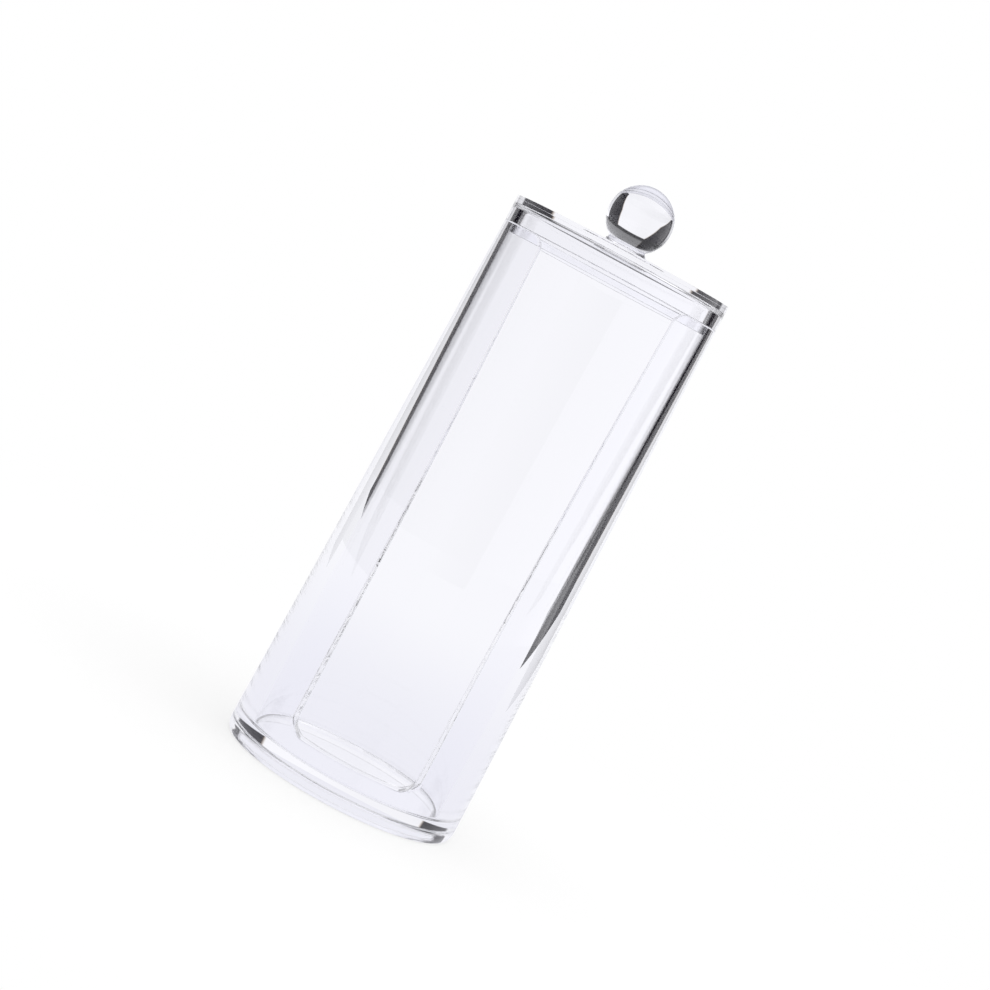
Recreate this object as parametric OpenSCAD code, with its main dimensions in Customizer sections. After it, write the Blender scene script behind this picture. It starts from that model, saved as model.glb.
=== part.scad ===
// Clear cotton swab holder: a moulded cup with a tall dispensing slot in front,
// a lift-off lid with a locating plug, and a ball knob on a flared foot.
// Millimetres. Origin at the centre of the underside, +Z up, slot facing -Y.

/* [Cup] */
// Height of the cup, from the underside to the rim
cup_h = 167; // [120:1:220]
// Outer diameter at the underside
base_d = 73.8; // [70:0.2:90]
// Outer diameter at the rim
rim_d = 68.4; // [66:0.2:73]
// Wall thickness at the rim
rim_wall = 2.2; // [1.4:0.1:2.4]
// Wall thickness at the floor
floor_wall = 6.5; // [3:0.1:8]
// Height of the floor's top face above the underside
floor_z = 6; // [5:0.1:9]
// Radius of the inside corner between floor and wall
corner_r = 1.4; // [0.6:0.1:4]
// Height of the curved foot, where the wall starts to turn in
foot_h = 3.4; // [1:0.1:5]
// How far the foot turns in
foot_inset = 1.4; // [0.4:0.1:1.8]
// Radius of the recess in the underside
recess_r = 32; // [20:0.1:32.5]
// Depth of the recess in the underside
recess_h = 3.5; // [3:0.1:3.8]
// Radius of the recess's rounded edges
recess_edge_r = 1.5; // [0.4:0.1:1.5]

/* [Slot] */
// Width of the slot in its straight lower part
slot_w = 37.8; // [20:0.2:46]
// How much wider the slot is at the rim
slot_spread = 3.6; // [1:0.2:5]
// Height above the underside where the slot starts to widen
slot_spread_z = 40; // [30:1:70]
// Height of the slot's lower edge above the floor
sill_h = 6.2; // [3:0.2:20]
// Radius of the slot's lower corners
slot_corner_r = 4.4; // [2:0.2:9]
// Radius of the corners where the slot meets the rim
slot_lip_r = 3.8; // [1:0.2:5]

/* [Lid] */
// Height of the lid's skirt, from the rim to the top face
lid_h = 7.8; // [6:0.1:14]
// Thickness of the lid's top plate
plate_t = 2; // [1.2:0.1:3.4]
// Wall thickness of the lid's skirt
skirt_wall = 3.5; // [3.3:0.1:4.5]
// Depth that the plug reaches into the cup
plug_h = 2.8; // [1.5:0.1:8]
// Clearance between the plug and the cup, on the radius
plug_gap = 0.3; // [0.2:0.05:0.4]
// Radius of the inside corner between plate and skirt
lid_corner_r = 1.6; // [0.6:0.1:1.8]
// Radius of the lid's top outer edge
lid_edge_r = 0.4; // [0.2:0.1:1]

/* [Knob] */
// Diameter of the ball
ball_d = 19.8; // [14:0.2:26]
// Gap between the lid's top face and the lowest point of the ball
ball_gap = 0.4; // [0.2:0.1:2]
// Diameter of the narrowest part, where the ball meets its foot
neck_d = 11.8; // [7:0.2:13]
// Diameter of the flared foot
foot_d = 17.6; // [15:0.2:24]
// Thickness of the foot at its outer edge
foot_t = 0.3; // [0.2:0.1:0.6]

/* [Hidden] */
$fn = 128;
past = 1; // how far a cutter runs past the face that it cuts
curve_step = 7.5; // degrees between the points of a drawn curve
base_r = base_d / 2;
rim_r = rim_d / 2;
cavity_rim_r = rim_r - rim_wall;
cavity_floor_r = base_r - floor_wall;
sill_z = floor_z + sill_h;
spread_len = cup_h - slot_spread_z;
spread = slot_spread / 2;
// The slot's sides curve outwards on one large arc each
spread_arc_r = (spread_len * spread_len + spread * spread) / (2 * spread);
slot_rim_x = slot_w / 2 + spread;
plug_r = cavity_rim_r - plug_gap;
lid_cavity_r = rim_r - skirt_wall;
lid_z = cup_h + lid_h;
ball_r = ball_d / 2;
neck_r = neck_d / 2;
foot_r = foot_d / 2;
ball_z = ball_gap + ball_r;
// Height of the circle where the ball meets the flare, above the lid
neck_z = ball_z - sqrt(ball_r * ball_r - neck_r * neck_r);
flare_h = neck_z - foot_t;
flare_w = foot_r - neck_r;
flare_r = (flare_w * flare_w + flare_h * flare_h) / (2 * flare_h);

// Radius of the outer wall at height z
function outer_r(z) = base_r + (rim_r - base_r) * z / cup_h;
// Radius of the cavity at height z
function cavity_r(z) =
    cavity_floor_r + (cavity_rim_r - cavity_floor_r) * (z - floor_z) / (cup_h - floor_z);

// Half section of the cup's outer shape, standing on its curved foot
module cup_outline() {
    edge_x = outer_r(foot_h) - foot_inset;
    polygon([
        [0, 0],
        for (a = [90:-curve_step:0]) [edge_x + foot_inset * cos(a), foot_h * (1 - sin(a))],
        [rim_r, cup_h],
        [0, cup_h]
    ]);
}

// Half section of the recess that hollows the underside, rounded at both edges
module recess_outline() {
    mouth_x = recess_r + recess_edge_r;
    top_x = recess_r - recess_edge_r;
    top_z = recess_h - recess_edge_r;
    polygon([
        [0, -past],
        [mouth_x, -past],
        for (a = [90:-curve_step:0])
            [mouth_x - recess_edge_r * cos(a), recess_edge_r * (1 - sin(a))],
        for (a = [0:curve_step:90])
            [top_x + recess_edge_r * cos(a), top_z + recess_edge_r * sin(a)],
        [0, recess_h]
    ]);
}

// Half section of the space inside the cup, with its floor corner rounded
module cavity_outline() {
    corner_z = floor_z + corner_r;
    corner_x = cavity_r(corner_z) - corner_r;
    polygon([
        [0, floor_z],
        [corner_x, floor_z],
        [corner_x, corner_z],
        [cavity_r(corner_z), corner_z],
        [cavity_r(cup_h + past), cup_h + past],
        [0, cup_h + past]
    ]);
    translate([corner_x, corner_z]) circle(corner_r);
}

// Lower, straight part of the slot, with rounded corners
module slot_lower() {
    corner_x = slot_w / 2 - slot_corner_r;
    corner_z = sill_z + slot_corner_r;
    translate([-slot_w / 2, corner_z]) square([slot_w, slot_spread_z - corner_z]);
    translate([-corner_x, sill_z]) square([2 * corner_x, slot_corner_r]);
    for (side = [-1, 1]) translate([side * corner_x, corner_z]) circle(slot_corner_r);
}

// Upper part of the slot, widening towards the rim on large arcs
module slot_upper() {
    difference() {
        translate([-slot_rim_x, slot_spread_z])
            square([2 * slot_rim_x, spread_len + past]);
        for (side = [-1, 1])
            translate([side * (slot_w / 2 + spread_arc_r), slot_spread_z])
                circle(spread_arc_r, $fn = 1800);
    }
}

// Rounded lip where one side of the slot meets the rim
module slot_lip() {
    difference() {
        translate([slot_rim_x - spread, cup_h - slot_lip_r])
            square([spread + slot_lip_r, slot_lip_r + past]);
        translate([slot_rim_x + slot_lip_r, cup_h - slot_lip_r]) circle(slot_lip_r);
    }
}

module slot_outline() {
    slot_lower();
    slot_upper();
    slot_lip();
    mirror([1, 0]) slot_lip();
}

// One moulding: hollow foot, floor, drafted wall and the open slot in front
module body() {
    color([0.93, 0.94, 0.98, 0.3])
        difference() {
            rotate_extrude() cup_outline();
            rotate_extrude() cavity_outline();
            rotate_extrude() recess_outline();
            rotate([90, 0, 0]) linear_extrude(base_r + past) slot_outline();
        }
}

// Half section of the lid's outer shape, from the plug up to the top face
module lid_outline() {
    edge_x = rim_r - lid_edge_r;
    translate([0, cup_h - plug_h]) square([plug_r, plug_h + lid_h / 2]);
    translate([0, cup_h]) square([rim_r, lid_h - lid_edge_r]);
    translate([0, lid_z - lid_edge_r]) square([edge_x, lid_edge_r]);
    translate([edge_x, lid_z - lid_edge_r]) circle(lid_edge_r);
}

// Half section of the hollow under the plate
module lid_hollow_outline() {
    top_z = lid_z - plate_t;
    corner_x = lid_cavity_r - lid_corner_r;
    corner_z = top_z - lid_corner_r;
    low_z = cup_h - plug_h - past;
    translate([0, low_z]) square([lid_cavity_r, corner_z - low_z]);
    translate([0, low_z]) square([corner_x, top_z - low_z]);
    translate([corner_x, corner_z]) circle(lid_corner_r);
}

// One moulding: top plate, skirt resting on the rim, and the plug below it
module lid() {
    color([0.93, 0.94, 0.98, 0.3])
        rotate_extrude()
            difference() {
                lid_outline();
                lid_hollow_outline();
            }
}

// Half section of the foot, flaring out from the neck to the lid
module foot_outline() {
    difference() {
        square([foot_r, neck_z]);
        translate([foot_r, foot_t + flare_r]) circle(flare_r);
    }
}

// Solid ball on its flared foot, glued to the middle of the lid
module knob() {
    color([0.9, 0.91, 0.95, 0.4])
        translate([0, 0, lid_z])
            rotate_extrude() {
                foot_outline();
                intersection() {
                    translate([0, ball_z]) circle(ball_r);
                    square([ball_r, ball_z + ball_r]);
                }
            }
}

body();
lid();
knob();
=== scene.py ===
import math

import bmesh
import bpy
import numpy as np
from mathutils import Matrix, Vector


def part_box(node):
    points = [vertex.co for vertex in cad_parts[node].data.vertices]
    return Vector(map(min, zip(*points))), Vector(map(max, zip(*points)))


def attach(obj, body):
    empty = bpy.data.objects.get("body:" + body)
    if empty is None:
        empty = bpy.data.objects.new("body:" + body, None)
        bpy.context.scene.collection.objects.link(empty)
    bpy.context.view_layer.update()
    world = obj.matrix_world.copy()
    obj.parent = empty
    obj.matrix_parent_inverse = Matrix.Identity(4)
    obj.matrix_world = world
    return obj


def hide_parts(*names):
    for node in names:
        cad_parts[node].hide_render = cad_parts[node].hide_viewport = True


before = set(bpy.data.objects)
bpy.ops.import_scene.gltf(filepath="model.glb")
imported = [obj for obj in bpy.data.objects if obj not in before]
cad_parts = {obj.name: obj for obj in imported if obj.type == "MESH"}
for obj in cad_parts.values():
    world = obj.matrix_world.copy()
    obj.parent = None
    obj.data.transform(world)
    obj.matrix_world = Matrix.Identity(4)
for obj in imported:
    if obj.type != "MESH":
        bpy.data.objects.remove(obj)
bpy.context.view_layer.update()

MM = 0.001

# Camera
# The holder stands upright and is seen from the front, a little below the top of its lid.
# The picture is turned in its own plane, so the camera is rolled and the object leans right.
camera_distance = 0.723  # from the holder's axis
camera_height = 0.1543
camera_azimuth = math.radians(-0.75)
camera_pan = math.radians(0.05)
camera_pitch = math.radians(4.643)
camera_roll = math.radians(28.23)
camera_lens = 91.1


def place_camera():
    data = bpy.data.cameras.new("photo_camera")
    data.lens = camera_lens
    data.sensor_width = 36
    data.clip_start = 0.01
    camera = bpy.data.objects.new("photo_camera", data)
    bpy.context.scene.collection.objects.link(camera)
    heading = -camera_azimuth + camera_pan
    flat = math.cos(camera_pitch)
    look = Vector((math.sin(heading) * flat, math.cos(heading) * flat, -math.sin(camera_pitch)))
    level = Vector((math.cos(heading), -math.sin(heading), 0))
    above = level.cross(look)
    right = level * math.cos(camera_roll) + above * math.sin(camera_roll)
    up = above * math.cos(camera_roll) - level * math.sin(camera_roll)
    turn = Matrix((right, up, -look)).transposed().to_4x4()
    spot = Vector((
        camera_distance * math.sin(camera_azimuth),
        -camera_distance * math.cos(camera_azimuth),
        camera_height,
    ))
    camera.matrix_world = Matrix.Translation(spot) @ turn
    bpy.context.scene.camera = camera


place_camera()

# Studio
# White table and white backdrop, as clear plastic is photographed. A dark card stands on each
# side of the backdrop, and the wall above it is dark. Only rays that the plastic reflects or
# refracts see these; the camera sees plain white and the holder's soft shadow.


def colour(code):
    """Turns an sRGB hex code such as "f2f4ff" into a linear colour."""
    parts = [int(code[i:i + 2], 16) / 255 for i in (0, 2, 4)]
    linear = [c / 12.92 if c <= 0.04045 else ((c + 0.055) / 1.055) ** 2.4 for c in parts]
    return (*linear, 1.0)


def add_node(tree, kind, settings=(), inputs=()):
    """Adds a node, sets its properties, and sets or links its inputs by name or number."""
    node = tree.nodes.new(kind)
    for name, value in dict(settings).items():
        setattr(node, name, value)
    for name, value in dict(inputs).items():
        if isinstance(value, bpy.types.NodeSocket):
            tree.links.new(value, node.inputs[name])
        else:
            node.inputs[name].default_value = value
    return node


def maths_for(tree):
    """Gives a function that adds a Math node to this tree and returns its result."""

    def maths(operation, a, b=0.0):
        return add_node(tree, "ShaderNodeMath", {"operation": operation}, {0: a, 1: b}).outputs[0]

    return maths


tent_white = "fcfcff"
tent_dark = "1b1820"
tent_radius = 0.6
tent_height = 0.95
tent_segments = 128
# A card's inner edge: its height on the wall, and its angle from the middle of the backdrop
right_edge = [(0.0, 33.0), (0.127, 28.5), (0.206, 25.5), (0.41, 24.0)]
left_edge = [(0.0, 44.0), (0.127, 31.0), (0.174, 26.0), (0.41, 15.0)]
right_card_top = 0.46
left_card_top = 0.7
card_top_soft = 0.02
card_soft = math.radians(1.1)  # half the width of the blur along a card's edge
painted_colour_fringe = math.radians(0.06)  # a painted colour fringe at a card's edge, standing in for the plastic spreading colours by about this much
side_start = math.radians(56)  # the cards end here and the side panels begin
right_panel = 1.35  # level of the side panel, with the backdrop as 1
left_panel = 0.25
left_front = 0.5  # the camera's side of the studio is dimmer on the left
right_front = 0.8
front_soft = 0.1
dim_from = 0.3  # above this height refracted rays see the dim sides and front too
dim_soft = 0.12
backdrop_left = 0.95  # the backdrop is a little dimmer towards its left
backdrop_slant_reach = 0.12
backdrop_top = 0.40  # the wall is dark above this height, then grey, then white again
wall_levels = [(0.0, 1.0), (0.012, 0.02), (0.05, 0.03), (0.07, 0.2), (0.3, 0.3), (0.42, 1.0)]


def build_tent():
    count = tent_segments
    points = [
        (tent_radius * math.cos(a), tent_radius * math.sin(a), z)
        for z in (-table_drop, tent_height)
        for a in np.linspace(0, 2 * math.pi, count, endpoint=False)
    ]
    faces = [(i, (i + 1) % count, count + (i + 1) % count, count + i) for i in range(count)]
    faces.append(tuple(range(count, 2 * count)))
    mesh = bpy.data.meshes.new("light_tent")
    mesh.from_pydata(points, [], faces)
    tent = bpy.data.objects.new("light_tent", mesh)
    bpy.context.scene.collection.objects.link(tent)
    tent.visible_camera = False
    tent.visible_diffuse = False
    tent.visible_shadow = False
    material = bpy.data.materials.new("white_tent_with_dark_cards")
    material.use_nodes = True
    tree = material.node_tree
    tree.nodes.clear()
    place = add_node(tree, "ShaderNodeTexCoord").outputs["Object"]
    parts = add_node(tree, "ShaderNodeSeparateXYZ", inputs={0: place})
    x, y, z = (parts.outputs[i] for i in range(3))
    maths = maths_for(tree)

    def ramp(value, stops):
        """Straight lines through (value, result) stops."""
        total = stops[0][1]
        for (low, before), (high, after) in zip(stops, stops[1:]):
            step = add_node(tree, "ShaderNodeMapRange", inputs={
                "Value": value, "From Min": low, "From Max": high,
                "To Min": 0.0, "To Max": after - before,
            })
            total = maths("ADD", step.outputs["Result"], total)
        return total

    def step_up(value, start, soft):
        """A smooth step from 0 to 1, as wide as soft on each side of start."""
        gap = maths("DIVIDE", maths("SUBTRACT", value, start), soft)
        return add_node(
            tree, "ShaderNodeMapRange", {"interpolation_type": "SMOOTHSTEP"},
            {"Value": gap, "From Min": -1.0, "From Max": 1.0},
        ).outputs["Result"]

    on_right = maths("GREATER_THAN", x, 0.0)
    angle = maths("ARCTAN2", maths("ABSOLUTE", x), y)

    def left_or_right(left, right):
        spread = maths("SUBTRACT", right, left)
        return maths("ADD", maths("MULTIPLY", on_right, spread), left)

    edge = left_or_right(
        ramp(z, [(h, math.radians(d)) for h, d in left_edge]),
        ramp(z, [(h, math.radians(d)) for h, d in right_edge]),
    )
    before_side = maths("SUBTRACT", 1.0, step_up(angle, side_start, 2 * card_soft))
    above_card = step_up(z, left_or_right(left_card_top, right_card_top), card_top_soft)
    on_card = maths("MULTIPLY", before_side, maths("SUBTRACT", 1.0, above_card))
    # Each colour channel sees the card's edge shifted a little: a painted colour fringe in place
    # of the plastic's dispersion
    channels = [
        maths("MULTIPLY", on_card, step_up(maths("ADD", angle, shift), edge, card_soft))
        for shift in (-painted_colour_fringe, 0.0, painted_colour_fringe)
    ]
    dark_share = add_node(
        tree, "ShaderNodeCombineXYZ", inputs=dict(enumerate(channels))
    ).outputs[0]
    across = step_up(x, 0.0, tent_radius)
    panel = maths("ADD", maths("MULTIPLY", across, right_panel - left_panel), left_panel)
    past_side = step_up(angle, side_start, 2 * card_soft)
    level = maths("ADD", maths("MULTIPLY", past_side, maths("SUBTRACT", panel, 1.0)), 1.0)
    wall_level = ramp(z, [(backdrop_top + rise, share) for rise, share in wall_levels])
    behind = step_up(y, 0.0, front_soft)
    front = maths("ADD", maths("MULTIPLY", across, right_front - left_front), left_front)
    ahead = maths("SUBTRACT", 1.0, behind)
    in_front = maths("MULTIPLY", ahead, maths("SUBTRACT", front, 1.0))
    level = maths("MULTIPLY", level, maths("ADD", in_front, 1.0))
    # Refracted rays see the dim sides and front only high up, so that the holder stays
    # clear when it is seen from the side or from behind
    refracted = add_node(tree, "ShaderNodeLightPath").outputs["Is Transmission Ray"]
    reflected = maths("SUBTRACT", 1.0, refracted)
    dimmed = maths("MAXIMUM", step_up(z, dim_from, dim_soft), reflected)
    level = maths("ADD", maths("MULTIPLY", dimmed, maths("SUBTRACT", level, 1.0)), 1.0)
    towards_right = step_up(x, 0.0, backdrop_slant_reach)
    slant = maths("MULTIPLY", towards_right, 1.0 - backdrop_left)
    level = maths("MULTIPLY", level, maths("ADD", slant, backdrop_left))
    level = maths("MULTIPLY", level, wall_level)
    white, dark = colour(tent_white)[:3], colour(tent_dark)[:3]
    gap = tuple(d - w for d, w in zip(dark, white))
    seen = add_node(
        tree, "ShaderNodeVectorMath", {"operation": "MULTIPLY_ADD"},
        {0: dark_share, 1: gap, 2: white},
    ).outputs[0]
    glow = add_node(tree, "ShaderNodeEmission", inputs={"Color": seen, "Strength": level})
    add_node(tree, "ShaderNodeOutputMaterial", inputs={"Surface": glow.outputs[0]})
    mesh.materials.append(material)


table_radius = 1.6
table_segments = 96
table_drop = 0.1 * MM  # keeps the table's surface just clear of the holder's underside
table_right = 0.265  # the white top ends here, under a card; the dark room shows beyond it
table_left = -0.385
painted_table_shade = "efeff6"  # painted shade: the table as seen through the plastic, darker close to the holder where its shadow falls
table_far = "fafafd"
painted_shade_from, painted_shade_to = 0.05, 0.4  # distances from the holder over which the painted shade gives way to the far white
laminate_white = 0.9
shadow_share = 0.25  # share of the table's white that takes the holder's shadow
shadow_from, shadow_to = 0.12, 0.3  # the shadow fades out between these distances
ambient_strength = 0.8


def build_world():
    world = bpy.data.worlds.new("white_studio")
    bpy.context.scene.world = world
    world.use_nodes = True
    tree = world.node_tree
    tree.nodes.clear()
    camera_ray = add_node(tree, "ShaderNodeLightPath").outputs["Is Camera Ray"]
    level = add_node(tree, "ShaderNodeMapRange", inputs={
        "Value": camera_ray, "To Min": ambient_strength, "To Max": 1.0,
    })
    glow = add_node(tree, "ShaderNodeBackground", inputs={
        "Color": (1, 1, 1, 1), "Strength": level.outputs["Result"],
    })
    add_node(tree, "ShaderNodeOutputWorld", inputs={"Surface": glow.outputs[0]})


def build_table():
    mesh = bpy.data.meshes.new("table")
    ring = [
        (table_radius * math.cos(a), table_radius * math.sin(a), -table_drop)
        for a in np.linspace(0, 2 * math.pi, table_segments, endpoint=False)
    ]
    mesh.from_pydata(ring, [], [range(table_segments)])
    table = bpy.data.objects.new("table", mesh)
    bpy.context.scene.collection.objects.link(table)
    material = bpy.data.materials.new("white_laminate_table_with_painted_shade")
    material.use_nodes = True
    tree = material.node_tree
    tree.nodes.clear()
    place = add_node(tree, "ShaderNodeTexCoord").outputs["Object"]
    reach = add_node(tree, "ShaderNodeVectorMath", {"operation": "LENGTH"}, {0: place})
    share = add_node(tree, "ShaderNodeMapRange", {"interpolation_type": "SMOOTHSTEP"}, {
        "Value": reach.outputs["Value"], "From Min": shadow_from, "From Max": shadow_to,
        "To Min": shadow_share, "To Max": 0.0,
    })
    light = add_node(tree, "ShaderNodeLightPath")
    through = add_node(
        tree, "ShaderNodeMath", {"operation": "MAXIMUM"},
        {0: light.outputs["Is Glossy Ray"], 1: light.outputs["Is Transmission Ray"]},
    )
    matt = add_node(tree, "ShaderNodeBsdfDiffuse", inputs={"Color": (*[laminate_white] * 3, 1)})
    white = add_node(tree, "ShaderNodeEmission", inputs={"Color": (1, 1, 1, 1)})
    direct = add_node(tree, "ShaderNodeMixShader", inputs={
        0: share.outputs["Result"], 1: white.outputs[0], 2: matt.outputs[0],
    })
    # Through the plastic the table is painted darker near the holder, a painted shadow that fades
    # out to the far white
    painted_shade_fade = add_node(tree, "ShaderNodeMapRange", {"interpolation_type": "SMOOTHSTEP"}, {
        "Value": reach.outputs["Value"], "From Min": painted_shade_from, "From Max": painted_shade_to,
    })
    tone = add_node(tree, "ShaderNodeMix", {"data_type": "RGBA"}, {
        0: painted_shade_fade.outputs["Result"], 6: colour(painted_table_shade), 7: colour(table_far),
    })
    parts = add_node(tree, "ShaderNodeSeparateXYZ", inputs={0: place})
    x, y = parts.outputs[0], parts.outputs[1]
    right_low, left_low = math.radians(right_edge[0][1]), math.radians(left_edge[0][1])
    maths = maths_for(tree)
    # The top's straight ends show dark only in front of the cards, as wide as their feet
    past_right = maths("GREATER_THAN", x, table_right)
    past_end = maths("MAXIMUM", past_right, maths("LESS_THAN", x, table_left))
    angle = maths("ARCTAN2", maths("ABSOLUTE", x), y)
    on_right = maths("GREATER_THAN", x, 0.0)
    low_edge = maths("ADD", maths("MULTIPLY", on_right, right_low - left_low), left_low)
    past_edge = maths("GREATER_THAN", angle, low_edge)
    in_card = maths("MULTIPLY", past_edge, maths("LESS_THAN", angle, side_start))
    beyond = maths("MULTIPLY", past_end, in_card)
    tone = add_node(tree, "ShaderNodeMix", {"data_type": "RGBA"}, {
        0: beyond, 6: tone.outputs[2], 7: colour(tent_dark),
    })
    toned = add_node(tree, "ShaderNodeEmission", inputs={"Color": tone.outputs[2]})
    plain = add_node(tree, "ShaderNodeMixShader", inputs={
        0: light.outputs["Is Camera Ray"], 1: matt.outputs[0], 2: direct.outputs[0],
    })
    final = add_node(tree, "ShaderNodeMixShader", inputs={
        0: through.outputs[0], 1: plain.outputs[0], 2: toned.outputs[0],
    })
    add_node(tree, "ShaderNodeOutputMaterial", inputs={"Surface": final.outputs[0]})
    mesh.materials.append(material)


def hang_softbox(name, spot, aim, size, power):
    data = bpy.data.lights.new(name, "AREA")
    data.shape = "RECTANGLE"
    data.size, data.size_y = size
    data.energy = power
    lamp = bpy.data.objects.new(name, data)
    bpy.context.scene.collection.objects.link(lamp)
    lamp.location = spot
    lamp.rotation_euler = (Vector(aim) - Vector(spot)).to_track_quat("-Z", "Y").to_euler()
    lamp.visible_glossy = False
    lamp.visible_transmission = False


build_world()
build_tent()
build_table()
hang_softbox("overhead_softbox", (0.15, -0.2, 1.3), (0, 0, 0.08), (0.9, 0.9), 8)

# Cup
# One injection moulding in clear acrylic: a floor over a hollow foot, a wall that thins
# towards the rim, and an open slot in front. The edges of the slot and rim are polished to a
# small round. Its form is one mesh of patches that carry their true normals.
cup_low, cup_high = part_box("body")
lid_low, lid_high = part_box("lid")
base_r = cup_high.x
cup_h = cup_high.z
rim_r = lid_high.x
rim_wall = 2.2 * MM
floor_wall = 6.5 * MM
floor_z = 6.0 * MM
corner_r = 1.4 * MM
foot_h = 3.4 * MM
foot_inset = 1.4 * MM
recess_r = 32.0 * MM  # the hollow under the floor
recess_h = 3.5 * MM
recess_edge_r = 1.5 * MM
slot_w = 37.8 * MM
slot_spread = 1.8 * MM  # how much each side of the slot bends outwards at the rim
slot_spread_z = 40 * MM  # and from which height
sill_z = 12.2 * MM
slot_corner_r = 4.4 * MM
slot_lip_r = 3.8 * MM
edge_round = 0.28 * MM  # how far the rounding of the slot and rim edges reaches
edge_steps = 8
wall_steps = 90  # from the slot round to the back
sill_steps = 60
side_steps = 96
lip_steps = 14
corner_steps = 16
stand_steps = 12
recess_steps = 8
floor_corner_steps = 10
disc_rings = 20
seam_weld = 0.005 * MM  # the patches meet to within this distance
shortest_edge = 0.0001 * MM


def outer_radius(z):
    return base_r + (rim_r - base_r) * z / cup_h


def inner_radius(z):
    low = base_r - floor_wall
    return low + (rim_r - rim_wall - low) * (z - floor_z) / (cup_h - floor_z)


def slot_half_outline():
    """Points (x, z) from the middle of the sill, round the corner, up the side and over the
    lip to the rim."""
    points = []
    half = slot_w / 2
    for x in np.linspace(0, half - slot_corner_r, sill_steps, endpoint=False):
        points.append((x, sill_z))
    for a in np.linspace(0, math.pi / 2, corner_steps, endpoint=False):
        points.append((
            half - slot_corner_r * (1 - math.sin(a)),
            sill_z + slot_corner_r * (1 - math.cos(a)),
        ))
    reach = cup_h - slot_spread_z
    arc = (reach ** 2 + slot_spread ** 2) / (2 * slot_spread)
    lip_z = cup_h - slot_lip_r
    for z in np.linspace(sill_z + slot_corner_r, lip_z, side_steps, endpoint=False):
        rise = max(z - slot_spread_z, 0)
        points.append((half + arc - math.sqrt(arc ** 2 - rise ** 2), z))
    rise = lip_z - slot_spread_z
    lip_x = half + arc - math.sqrt(arc ** 2 - rise ** 2)
    for a in np.linspace(0, math.pi / 2, lip_steps + 1):
        points.append((
            lip_x + slot_lip_r * (1 - math.cos(a)),
            lip_z + slot_lip_r * math.sin(a),
        ))
    return points


def on_wall(radius, theta, z):
    """Point on a wall surface; theta is measured round from the front, towards +X."""
    r = radius(z)
    return np.stack([r * np.sin(theta), -r * np.cos(theta), z * np.ones_like(theta)], -1)


def wall_normal(radius, theta, outward):
    """True normal of a wall's cone; outward is 1 for the outside and -1 for the inside."""
    slope = (radius(cup_h) - radius(0)) / cup_h
    n = np.stack([np.sin(theta), -np.cos(theta), -slope * np.ones_like(theta)], -1)
    return outward * n / math.sqrt(1 + slope ** 2)


def unit(v):
    return v / np.linalg.norm(v, axis=-1, keepdims=True)


class Skin:
    """Collects patches of points with their true normals and welds them into one mesh."""

    def __init__(self):
        self.points, self.normals, self.faces = [], [], []

    def patch(self, points, normals):
        rows, columns = points.shape[:2]
        start = len(self.points)
        self.points.extend(points.reshape(-1, 3))
        self.normals.extend(normals.reshape(-1, 3))
        for i in range(rows - 1):
            for j in range(columns - 1):
                a = start + i * columns + j
                self.faces.append((a, a + 1, a + columns + 1, a + columns))

    def mesh(self, name):
        """Turns every face outwards, welds the patches and sets the true normals."""
        raw = bpy.data.meshes.new(name)
        points = np.array(self.points)
        normals = np.array(self.normals)
        faces = []
        for face in self.faces:
            corners = points[list(face)]
            across = np.cross(corners[2] - corners[0], corners[3] - corners[1])
            outward = across @ normals[list(face)].sum(0) >= 0
            faces.append(face if outward else face[::-1])
        raw.from_pydata(points.tolist(), [], faces)
        true = raw.attributes.new("true_normal", "FLOAT_VECTOR", "POINT")
        true.data.foreach_set("vector", normals.astype(np.float32).ravel())
        bm = bmesh.new()
        bm.from_mesh(raw)
        bmesh.ops.remove_doubles(bm, verts=bm.verts, dist=seam_weld)
        bmesh.ops.dissolve_degenerate(bm, edges=bm.edges, dist=shortest_edge)
        bm.to_mesh(raw)
        bm.free()
        kept = np.zeros(len(raw.vertices) * 3, np.float32)
        raw.attributes["true_normal"].data.foreach_get("vector", kept)
        raw.attributes.remove(raw.attributes["true_normal"])
        raw.shade_smooth()
        raw.normals_split_custom_set_from_vertices(unit(kept.reshape(-1, 3)).tolist())
        return raw


def wall_grid(radius, outline, corner_at, z_low, z_rim, outward):
    """Rows of points from the slot's outline round to the back seam and down to z_low."""
    slot_theta = np.arcsin(outline[:, 0] / radius(outline[:, 2]))
    slot_z = outline[:, 2]
    count = len(outline)
    far = count - 1 - corner_at
    back_theta = np.empty(count)
    back_z = np.empty(count)
    back_theta[:corner_at + 1] = -math.pi
    back_theta[far:] = math.pi
    back_theta[corner_at:far + 1] = np.linspace(-math.pi, math.pi, far - corner_at + 1)
    share = (slot_z - slot_z[corner_at]) / (z_rim - slot_z[corner_at])
    back_z[:] = z_low + np.clip(share, 0, 1) * (z_rim - z_low)
    back_z[corner_at:far + 1] = z_low
    s = np.linspace(0, 1, wall_steps + 1)[:, None]
    theta = slot_theta * (1 - s) + back_theta * s
    z = slot_z * (1 - s) + back_z * s
    r = radius(z)
    points = np.stack([r * np.sin(theta), -r * np.cos(theta), z], -1)
    return points, wall_normal(radius, theta, outward)


def rounded(edge, along_a, along_b, reach, steps):
    """Rows of points and normals that round an edge between two faces."""
    bisector = unit(along_a + along_b)
    half = np.arccos(np.clip((along_a * bisector).sum(-1, keepdims=True), -1, 1))
    centre = edge + bisector * reach / np.cos(half)
    first = edge + along_a * reach - centre
    last = edge + along_b * reach - centre
    spread = math.pi - 2 * half
    rows = []
    for t in np.linspace(0, 1, steps + 1):
        weight = np.sin((1 - t) * spread), np.sin(t * spread)
        rows.append((first * weight[0] + last * weight[1]) / np.sin(spread))
    arms = np.stack(rows)
    return centre + arms, unit(arms)


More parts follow.
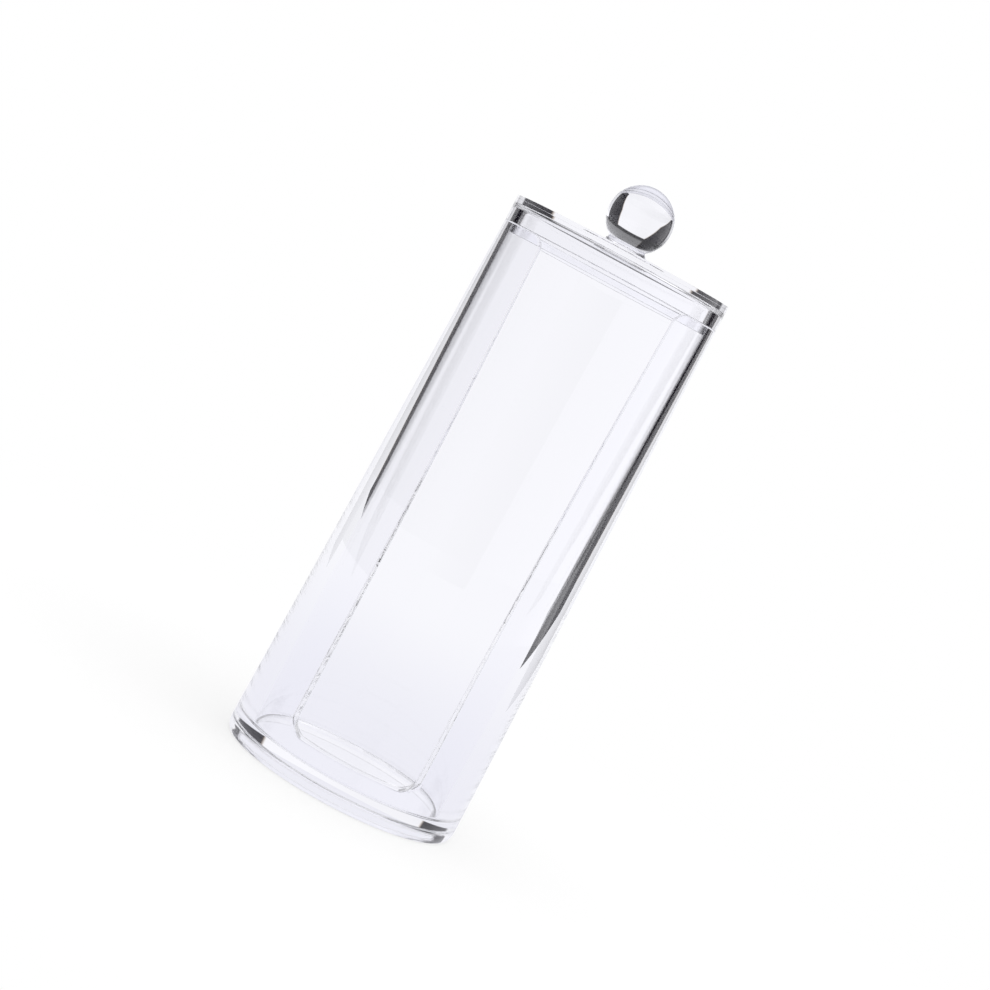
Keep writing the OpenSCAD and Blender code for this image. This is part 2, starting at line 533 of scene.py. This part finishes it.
def ring_patch(skin, profile, thetas):
    """Adds a turned surface; profile holds (r, z, normal r, normal z)."""
    profile = np.array(profile)[:, None, :]
    sine, cosine = np.sin(thetas)[None], -np.cos(thetas)[None]
    r, z, nr, nz = (profile[..., i] for i in range(4))
    ones = np.ones_like(sine)
    skin.patch(
        np.stack([r * sine, r * cosine, z * ones], -1),
        np.stack([nr * sine, nr * cosine, nz * ones], -1),
    )


def cup_mesh():
    half = slot_half_outline()
    outline = np.array([(-x, 0, z) for x, z in half[:0:-1]] + [(x, 0, z) for x, z in half])
    corner_at = len(half) - 1 - sill_steps - corner_steps // 2
    skin = Skin()
    edges = {}
    for name, radius in (("out", outer_radius), ("in", inner_radius)):
        theta = np.arcsin(outline[:, 0] / radius(outline[:, 2]))
        edge = on_wall(radius, theta, outline[:, 2])
        normal = wall_normal(radius, theta, 1)
        along = unit(np.gradient(edge, axis=0))
        away = unit(np.cross(along, normal))
        edges[name] = [edge, away]
    walls = {}
    for name, radius, outward, z_low in (
        ("out", outer_radius, 1, foot_h),
        ("in", inner_radius, -1, floor_z + corner_r),
    ):
        edge, away = edges[name]
        start = edge + away * edge_round
        grid, normals = wall_grid(radius, start, corner_at, z_low, start[0, 2], outward)
        skin.patch(grid, normals)
        walls[name] = grid
        # The rim carries the edge loop on, from the slot round the back to the slot again
        right = grid[1:, -1]
        left = grid[-2:0:-1, 0]
        loop = np.concatenate([grid[0], right, left, grid[0][:1]])
        centre_line = np.arctan2(loop[:, 0], -loop[:, 1])
        slope = (radius(cup_h) - radius(0)) / cup_h
        down = unit(np.stack([
            -slope * np.sin(centre_line), slope * np.cos(centre_line), -np.ones(len(loop))
        ], -1))
        direction = np.concatenate([away, down[len(away):-1], away[:1]])
        edges[name] = [loop - direction * edge_round, direction]
        edges[name][0][:len(edge)] = edge
        edges[name][0][-1] = edge[0]
    (out_edge, out_away), (in_edge, in_away) = edges["out"], edges["in"]
    across = unit(in_edge - out_edge)
    out_rows, out_normals = rounded(out_edge, out_away, across, edge_round, edge_steps)
    in_rows, in_normals = rounded(in_edge, -across, in_away, edge_round, edge_steps)
    rows = np.concatenate([out_rows, in_rows])
    skin.patch(rows, np.concatenate([out_normals, in_normals]))
    bottom = walls["out"][-1, corner_at:len(outline) - corner_at]
    thetas = np.linspace(-math.pi, math.pi, len(bottom))
    edge_x = outer_radius(foot_h) - foot_inset
    stand = []
    for a in np.linspace(0, math.pi / 2, stand_steps + 1):
        lean = unit(np.array([math.cos(a) * foot_h, -math.sin(a) * foot_inset]))
        stand.append((edge_x + foot_inset * math.cos(a), foot_h * (1 - math.sin(a)), *lean))
    mouth_x, top_x = recess_r + recess_edge_r, recess_r - recess_edge_r
    for a in np.linspace(0, math.pi / 2, recess_steps + 1):
        side, drop = math.sin(a), math.cos(a)
        stand.append((mouth_x - recess_edge_r * side, recess_edge_r * (1 - drop), -side, -drop))
    for a in np.linspace(0, math.pi / 2, recess_steps + 1):
        side, drop = math.cos(a), math.sin(a)
        top = recess_h - recess_edge_r * (1 - drop)
        stand.append((top_x + recess_edge_r * side, top, -side, -drop))
    stand += [(r, recess_h, 0, -1) for r in np.linspace(top_x, 0, disc_rings)[1:]]
    ring_patch(skin, stand, thetas)
    corner_z = floor_z + corner_r
    corner_x = inner_radius(corner_z) - corner_r
    inside = []
    for a in np.linspace(0, math.pi / 2, floor_corner_steps + 1):
        side, drop = math.cos(a), math.sin(a)
        inside.append((corner_x + corner_r * side, corner_z - corner_r * drop, -side, drop))
    inside += [(r, floor_z, 0, 1) for r in np.linspace(corner_x, 0, disc_rings)[1:]]
    ring_patch(skin, inside, thetas)
    return skin.mesh("cup")


acrylic_tint = "fdfdff"
acrylic_ior = 1.49
wave_height = 0.003 * MM
rub_across_mm, rub_along_mm = 2.5, 14  # spacing and length of the hairline rubs
rub_bend = 1.2
rub_width = 0.0025  # as a share of the noise's range
patch_across_mm, patch_along_mm = 11, 16
patch_from, patch_full = 0.66, 0.74  # noise levels where a patch of rubs begins and is full
rub_roughness = 0.12


def acrylic(name, wave_mm, wave_length_mm):
    """Clear moulded acrylic: slight flow waves bend what is seen through it, and a few
    hairline rubs, thinner than a tenth of a millimetre, catch the light."""
    material = bpy.data.materials.new(name)
    material.use_nodes = True
    tree = material.node_tree
    shader = tree.nodes["Principled BSDF"]
    shader.inputs["Base Color"].default_value = colour(acrylic_tint)
    shader.inputs["IOR"].default_value = acrylic_ior
    shader.inputs["Transmission Weight"].default_value = 1.0
    place = add_node(tree, "ShaderNodeTexCoord").outputs["Object"]

    def scaled(across_mm, along_mm):
        per = [1 / (size * MM) for size in (across_mm, across_mm, along_mm)]
        stretched = add_node(
            tree, "ShaderNodeVectorMath", {"operation": "MULTIPLY"}, {0: place, 1: per},
        )
        return stretched.outputs[0]

    # The waves follow the melt's flow, up the mould
    flow = add_node(tree, "ShaderNodeTexNoise", inputs={
        "Vector": scaled(wave_mm, wave_length_mm), "Scale": 1.0, "Detail": 1.0,
    })
    bump = add_node(tree, "ShaderNodeBump", inputs={
        "Height": flow.outputs["Fac"], "Strength": 1.0, "Distance": wave_height,
    })
    tree.links.new(bump.outputs["Normal"], shader.inputs["Normal"])
    # Rubs are the thin crests of a stretched noise, kept only in scattered patches
    rub = add_node(tree, "ShaderNodeTexNoise", inputs={
        "Vector": scaled(rub_across_mm, rub_along_mm),
        "Scale": 1.0, "Detail": 0.0, "Distortion": rub_bend,
    })
    crest = add_node(tree, "ShaderNodeMath", {"operation": "COMPARE"}, {
        0: rub.outputs["Fac"], 1: 0.5, 2: rub_width,
    })
    patch = add_node(tree, "ShaderNodeTexNoise", inputs={
        "Vector": scaled(patch_across_mm, patch_along_mm), "Scale": 1.0, "Detail": 0.0,
    })
    worn = add_node(tree, "ShaderNodeMapRange", inputs={
        "Value": patch.outputs["Fac"], "From Min": patch_from, "From Max": patch_full,
    })
    maths = maths_for(tree)
    haze = maths("MULTIPLY", crest.outputs[0], worn.outputs["Result"])
    rough = maths("MULTIPLY", haze, rub_roughness)
    tree.links.new(rough, shader.inputs["Roughness"])
    return material


cup = bpy.data.objects.new("cup_moulding", cup_mesh())
bpy.context.scene.collection.objects.link(cup)
cup.data.materials.append(acrylic("clear_moulded_acrylic", 18, 70))
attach(cup, "cup")
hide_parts("body")

# Lid
# One clear acrylic moulding, turned about the axis: a thin plate, a skirt that rests on the
# cup's rim and a plug ring that drops inside the cup. Nothing fixes it, so it lifts off.
plate_t = 2.0 * MM
skirt_wall = 3.5 * MM
plug_h = 2.8 * MM
plug_gap = 0.3 * MM
lid_corner_r = 1.6 * MM
foot_edge_r = 0.2 * MM  # the plug ring's lower edges and the skirt's outer one
plug_corner_r = 0.15 * MM
lid_edge_r = 0.06 * MM
turn_weld = 0.001 * MM
rest_gap = 0.03 * MM  # air film where the skirt lies on the rim


def turn_profile(corners, rounds, support=0.04 * MM, per_right_angle=8):
    """Rounds an outline of (r, z) corners; tiny support spans keep the flats flat."""
    points = [corners[0]]
    corners = [np.array(c, float) for c in corners]
    for before, here, after, radius in zip(corners, corners[1:], corners[2:], rounds):
        back, on = unit(before - here), unit(after - here)
        turn = math.pi - math.acos(np.clip(back @ on, -1, 1))
        reach = radius * math.tan(turn / 2)
        centre = here + unit(back + on) * radius / math.cos(turn / 2)
        steps = max(3, round(per_right_angle * turn / (math.pi / 2)))
        first, last = here + back * reach - centre, here + on * reach - centre
        points.append(tuple(here + back * (reach + support)))
        for t in np.linspace(0, 1, steps + 1):
            arm = (first * math.sin((1 - t) * turn) + last * math.sin(t * turn)) / math.sin(turn)
            points.append(tuple(centre + arm))
        points.append(tuple(here + on * (reach + support)))
    points.append(tuple(corners[-1]))
    return points


def turning_tree():
    """Geometry Nodes that turn an outline, a chain of points (r, 0, z), about the Z axis."""
    tree = bpy.data.node_groups.new("turn_about_axis", "GeometryNodeTree")
    for name, kind in (
        ("Outline", "NodeSocketGeometry"), ("Segments", "NodeSocketInt"),
        ("Weld Distance", "NodeSocketFloat"), ("Material", "NodeSocketMaterial"),
    ):
        tree.interface.new_socket(name=name, in_out="INPUT", socket_type=kind)
    tree.interface.new_socket(name="Turned", in_out="OUTPUT", socket_type="NodeSocketGeometry")
    given = add_node(tree, "NodeGroupInput").outputs
    maths = maths_for(tree)
    count = add_node(tree, "GeometryNodeAttributeDomainSize", {"component": "MESH"}, {
        "Geometry": given["Outline"],
    }).outputs["Point Count"]
    # The grid's columns are the steps round the axis, and its rows the outline's points
    grid = add_node(tree, "GeometryNodeMeshGrid", inputs={
        "Vertices X": maths("ADD", given["Segments"], 1.0), "Vertices Y": count,
    })
    index = add_node(tree, "GeometryNodeInputIndex").outputs[0]
    spot = add_node(tree, "GeometryNodeSampleIndex", {"data_type": "FLOAT_VECTOR"}, {
        "Geometry": given["Outline"],
        "Value": add_node(tree, "GeometryNodeInputPosition").outputs[0],
        "Index": maths("MODULO", index, count),
    })
    step = maths("FLOOR", maths("DIVIDE", index, count))
    angle = maths("MULTIPLY", step, maths("DIVIDE", 2 * math.pi, given["Segments"]))
    turned = add_node(tree, "ShaderNodeVectorRotate", {"rotation_type": "Z_AXIS"}, {
        "Vector": spot.outputs[0], "Angle": angle,
    })
    placed = add_node(tree, "GeometryNodeSetPosition", inputs={
        "Geometry": grid.outputs["Mesh"], "Position": turned.outputs[0],
    })
    welded = add_node(tree, "GeometryNodeMergeByDistance", inputs={
        "Geometry": placed.outputs[0], "Distance": given["Weld Distance"],
    })
    smooth = add_node(tree, "GeometryNodeSetShadeSmooth", inputs={"Geometry": welded.outputs[0]})
    real = add_node(tree, "GeometryNodeRealizeInstances", inputs={"Geometry": smooth.outputs[0]})
    clad = add_node(tree, "GeometryNodeSetMaterial", inputs={
        "Geometry": real.outputs[0], "Material": given["Material"],
    })
    add_node(tree, "NodeGroupOutput", inputs={"Turned": clad.outputs[0]})
    return tree


def turn(name, outline, material, segments=160):
    """Makes a finished object from an outline of (r, z) points with the turning tree."""
    chain = bpy.data.meshes.new(name + "_outline")
    spans = [(i, i + 1) for i in range(len(outline) - 1)]
    chain.from_pydata([(r, 0, z) for r, z in outline], spans, [])
    drawn = bpy.data.objects.new(name + "_outline", chain)
    bpy.context.scene.collection.objects.link(drawn)
    modifier = drawn.modifiers.new("turn", "NODES")
    modifier.node_group = turning
    items = turning.interface.items_tree
    sockets = {item.name: item.identifier for item in items if item.in_out == "INPUT"}
    modifier[sockets["Segments"]] = segments
    modifier[sockets["Weld Distance"]] = turn_weld
    modifier[sockets["Material"]] = material
    ready = drawn.evaluated_get(bpy.context.evaluated_depsgraph_get())
    mesh = bpy.data.meshes.new_from_object(ready)
    mesh.name = name
    bpy.data.objects.remove(drawn)
    piece = bpy.data.objects.new(name, mesh)
    bpy.context.scene.collection.objects.link(piece)
    return piece


turning = turning_tree()
lid_top = lid_high.z
skirt_foot = cup_h + rest_gap
plug_r = rim_r - rim_wall - plug_gap
hollow_r = rim_r - skirt_wall
lid_outline = turn_profile(
    [
        (0, lid_top - plate_t),
        (hollow_r, lid_top - plate_t),
        (hollow_r, cup_h - plug_h),
        (plug_r, cup_h - plug_h),
        (plug_r, skirt_foot),
        (rim_r, skirt_foot),
        (rim_r, lid_top),
        (0, lid_top),
    ],
    [lid_corner_r, foot_edge_r, foot_edge_r, plug_corner_r, foot_edge_r, lid_edge_r],
)
lid = turn("lid_moulding", lid_outline, acrylic("clear_moulded_acrylic_lid", 18, 5))
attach(lid, "lid")
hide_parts("lid")

# Knob
# A solid ball with a small flared foot, moulded apart and glued to the middle of the lid.
# The glue leaves no air between them, so its foot sinks a hair into the plate.
ball_r = 9.9 * MM
ball_gap = 0.4 * MM
neck_r = 5.9 * MM
foot_r = 8.8 * MM
foot_t = 0.3 * MM
glue_sink = 0.05 * MM
flare_steps = 15
ball_steps = 79


def knob_outline():
    """Points (r, z) from under the foot, up its flare and round the ball to its top."""
    ball_z = lid_top + ball_gap + ball_r
    neck_z = ball_z - math.sqrt(ball_r ** 2 - neck_r ** 2)
    rise = neck_z - lid_top - foot_t
    run = foot_r - neck_r
    flare = (run ** 2 + rise ** 2) / (2 * rise)
    low = lid_top - glue_sink
    points = [(0, low), (foot_r, low), (foot_r, lid_top + foot_t)]
    sweep = math.asin(run / flare)
    for a in np.linspace(0, sweep, flare_steps + 1)[1:]:
        height = lid_top + foot_t + flare * (1 - math.cos(a))
        points.append((foot_r - flare * math.sin(a), height))
    start = math.asin(neck_r / ball_r)
    for a in np.linspace(start, math.pi, ball_steps + 1)[1:]:
        points.append((ball_r * math.sin(a), ball_z - ball_r * math.cos(a)))
    points[-1] = (0, ball_z + ball_r)
    return points


knob = turn("ball_knob", knob_outline(), acrylic("clear_solid_acrylic_knob", 9, 5))
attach(knob, "lid")
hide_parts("knob")

# Finish
# Light goes to and fro inside clear plastic many times before it leaves, so the renderer
# follows it that far.
bounces = 96
scene = bpy.context.scene
scene.view_settings.view_transform = "Standard"
scene.cycles.max_bounces = bounces
scene.cycles.transmission_bounces = bounces
scene.cycles.glossy_bounces = bounces
